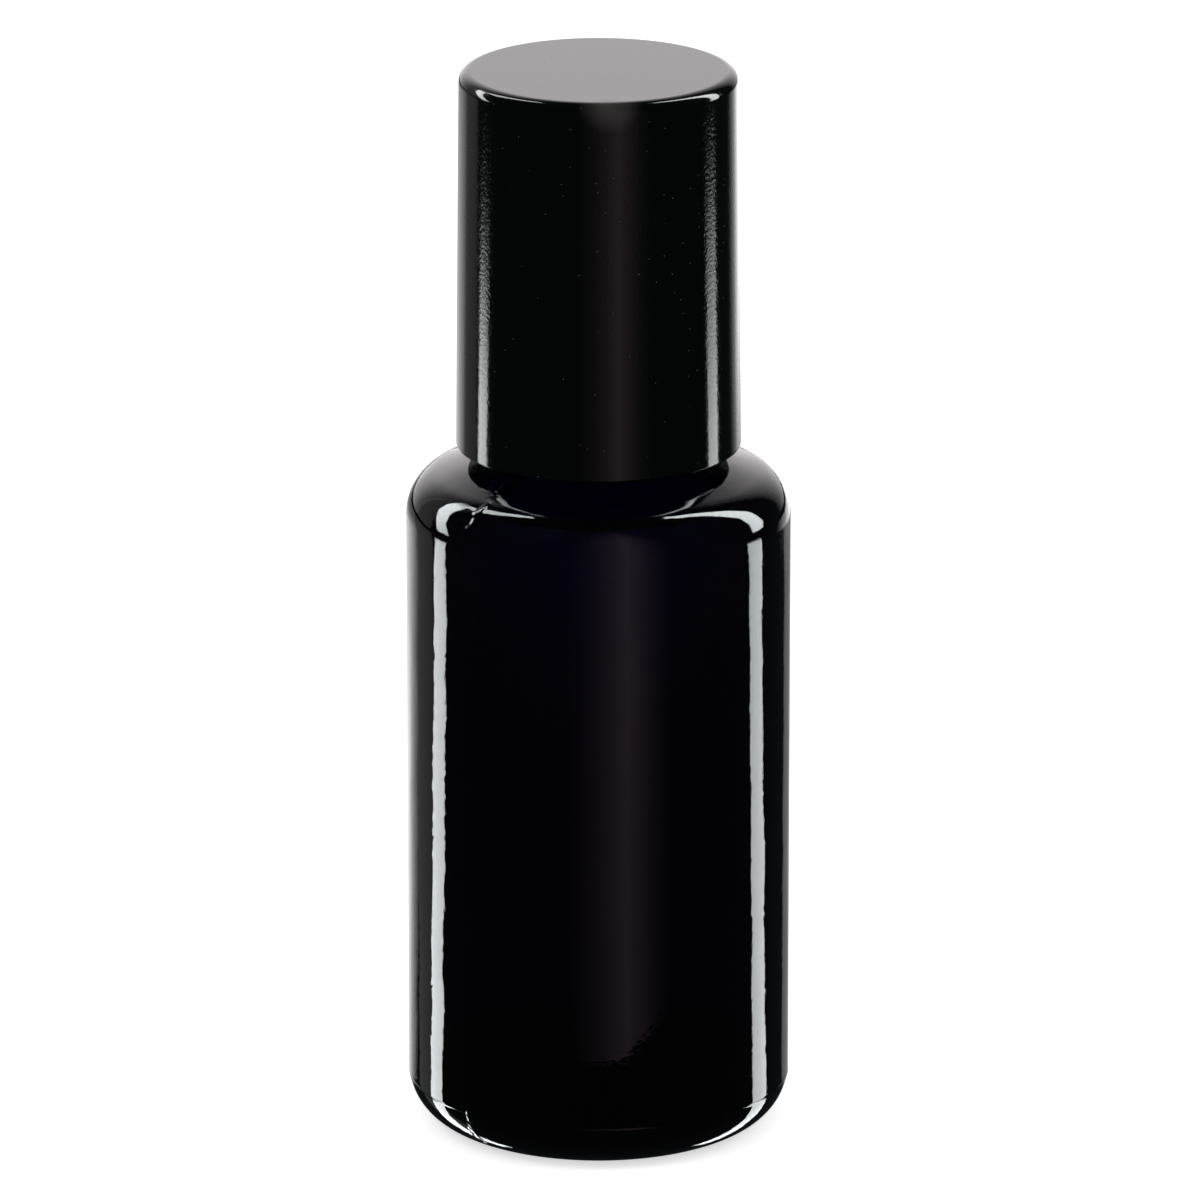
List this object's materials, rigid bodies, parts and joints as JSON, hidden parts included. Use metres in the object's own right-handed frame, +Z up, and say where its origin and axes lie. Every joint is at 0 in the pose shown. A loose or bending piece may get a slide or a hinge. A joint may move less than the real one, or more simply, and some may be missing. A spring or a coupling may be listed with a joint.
{
  "type": "roll-on bottle",
  "caption": "Round dark violet glass roll-on bottle with rounded heel and shoulder, a ball held in a snap-in housing on the neck, and a tall gloss black screw cap.",
  "frame": {"origin": "centre of the foot, on the surface the bottle stands on", "axes": "+Z up the bottle's axis, towards the cap; the bottle is round, so X and Y are free"},
  "size_m": [0.033, 0.033, 0.0936],
  "materials": {
    "glass": "polished, almost opaque violet",
    "housing_plastic": "natural, slightly waxy",
    "ball_steel": "polished stainless",
    "pad_foam": "soft white polyethylene",
    "sleeve_plastic": "satin black",
    "cap_plastic": "gloss black"
  },
  "bodies": {
    "bottle": {"glass_bottle": "glass", "roller_housing": "housing_plastic"},
    "ball": {"roller_ball": "ball_steel"},
    "seal": {"cap_seal_pad": "pad_foam"},
    "cap": {"cap_insert": "sleeve_plastic", "cap_shell": "cap_plastic"}
  },
  "joints": [
    {"name": "ball_roll", "type": "hinge", "parent": "bottle", "child": "ball", "pos_m": [0, 0, 0.0818], "axis": [1, 0, 0], "continuous": true},
    {"name": "cap_rise", "type": "slide", "parent": "bottle", "child": "seal", "axis": [0, 0, 1], "range_m": [0, 0.036]},
    {"name": "cap_turn", "type": "hinge", "parent": "seal", "child": "cap", "pos_m": [0, 0, 0.0818], "axis": [0, 0, 1], "range_deg": [0, 2160]}
  ],
  "couplings": [
    {"joint": "cap_rise", "follows": "cap_turn", "m_per_rad": 0.00095493}
  ]
}
